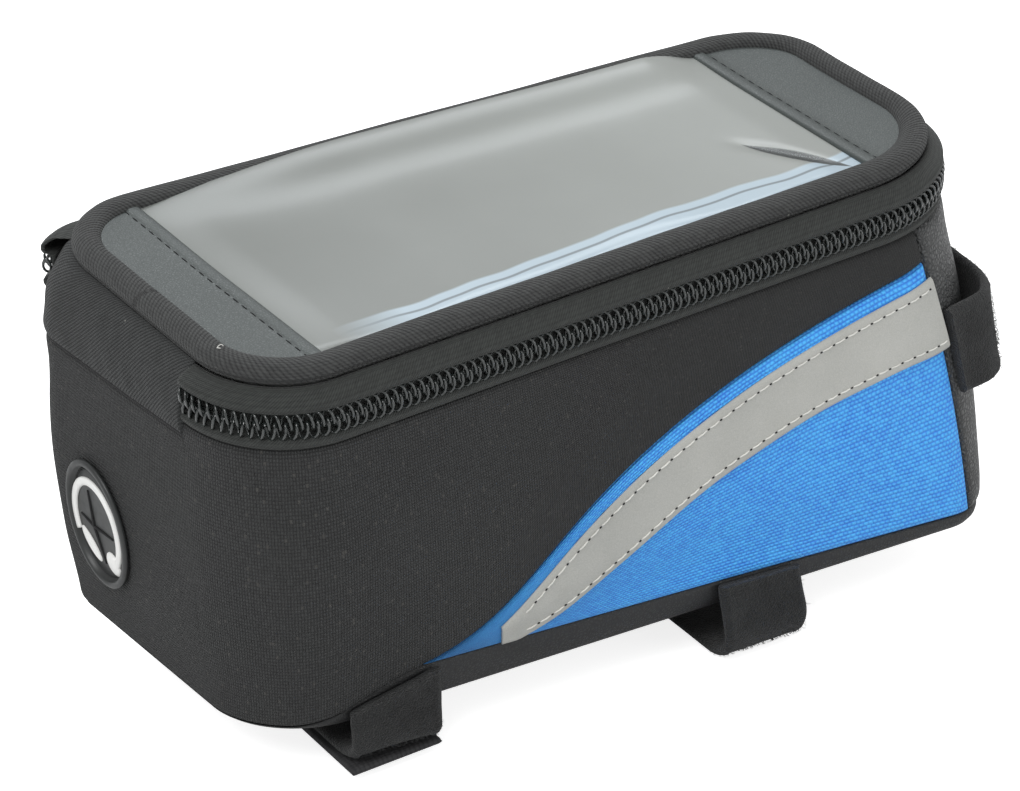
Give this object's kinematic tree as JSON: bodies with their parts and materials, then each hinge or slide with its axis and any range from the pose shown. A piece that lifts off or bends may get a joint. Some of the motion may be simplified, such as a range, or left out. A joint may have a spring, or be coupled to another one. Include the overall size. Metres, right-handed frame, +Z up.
{
  "type": "top tube phone bag",
  "caption": "Zipped bicycle frame bag with a padded lid, a clear phone window, coloured side panels, reflective strips and hook-and-loop straps.",
  "frame": {"origin": "middle of the underside of the bottom panel, under the middle of the window, where the bag lies on the top tube", "axes": "+X towards the head tube, along the bag; +Z up, square to the window; -Y is the side that the picture shows"},
  "size_m": [0.2157, 0.1104, 0.1117],
  "materials": {
    "black_fabric": "plain weave",
    "blue_fabric": "coarse basket weave",
    "reflective_tape": "grey retroreflective tape",
    "grey_leatherette": "fine grain leatherette",
    "piping_fabric": "ribbed knit over padding",
    "clear_film": "clear soft film",
    "grey_backing": "matt grey",
    "lining": "plain lining",
    "port_rubber": "matt rubber",
    "zip_tape": "herringbone tape",
    "zip_teeth": "nylon coil",
    "slider_metal": "black paint",
    "loop_pile": "hook-and-loop pile",
    "webbing": "flat webbing"
  },
  "bodies": {
    "bag": {"outer_shell": "black_fabric", "side_panel_near": "blue_fabric", "side_panel_far": "blue_fabric", "reflective_strip_near": "reflective_tape", "reflective_strip_far": "reflective_tape", "front_panel": "grey_leatherette", "bottom_panel": "grey_leatherette", "inner_lining": "lining", "cable_port": "port_rubber", "lower_zip_tape": "zip_tape", "lower_zip_teeth": "zip_teeth", "hinge_panel": "black_fabric", "rear_strap": "loop_pile", "rear_strap_tab": "webbing", "front_strap": "loop_pile", "head_strap": "loop_pile"},
    "lid": {"lid_piping": "piping_fabric", "window_film": "clear_film", "lid_panel_rear": "grey_leatherette", "lid_panel_front": "grey_leatherette", "phone_backing": "grey_backing", "upper_zip_tape": "zip_tape", "upper_zip_teeth": "zip_teeth"},
    "slider_front": {"zip_slider_front": "slider_metal"},
    "slider_rear": {"zip_slider_rear": "slider_metal"},
    "pull_front": {"zip_pull_front": "slider_metal"},
    "pull_rear": {"zip_pull_rear": "slider_metal"}
  },
  "joints": [
    {"name": "lid_hinge", "type": "hinge", "parent": "bag", "child": "lid", "pos_m": [-0.1009, 0, 0.0876], "axis": [0, -1, 0], "range_deg": [0, 100], "deforming": ["hinge_panel"]},
    {"name": "slider_front_slide", "type": "slide", "parent": "bag", "child": "slider_front", "axis": [0.999, -0.045, 0], "range_m": [0, 0.1], "deforming": ["lower_zip_teeth", "upper_zip_teeth"]},
    {"name": "slider_rear_slide", "type": "slide", "parent": "bag", "child": "slider_rear", "axis": [-0.999, 0.045, 0], "range_m": [0, 0.012], "deforming": ["lower_zip_teeth", "upper_zip_teeth"]},
    {"name": "pull_front_hinge", "type": "hinge", "parent": "slider_front", "child": "pull_front", "pos_m": [-0.04187, 0.05049, 0.0876], "axis": [0, 0, 1], "range_deg": [0, 150]},
    {"name": "pull_rear_hinge", "type": "hinge", "parent": "slider_rear", "child": "pull_rear", "pos_m": [-0.05887, 0.05125, 0.0876], "axis": [0, 0, -1], "range_deg": [0, 150]}
  ]
}
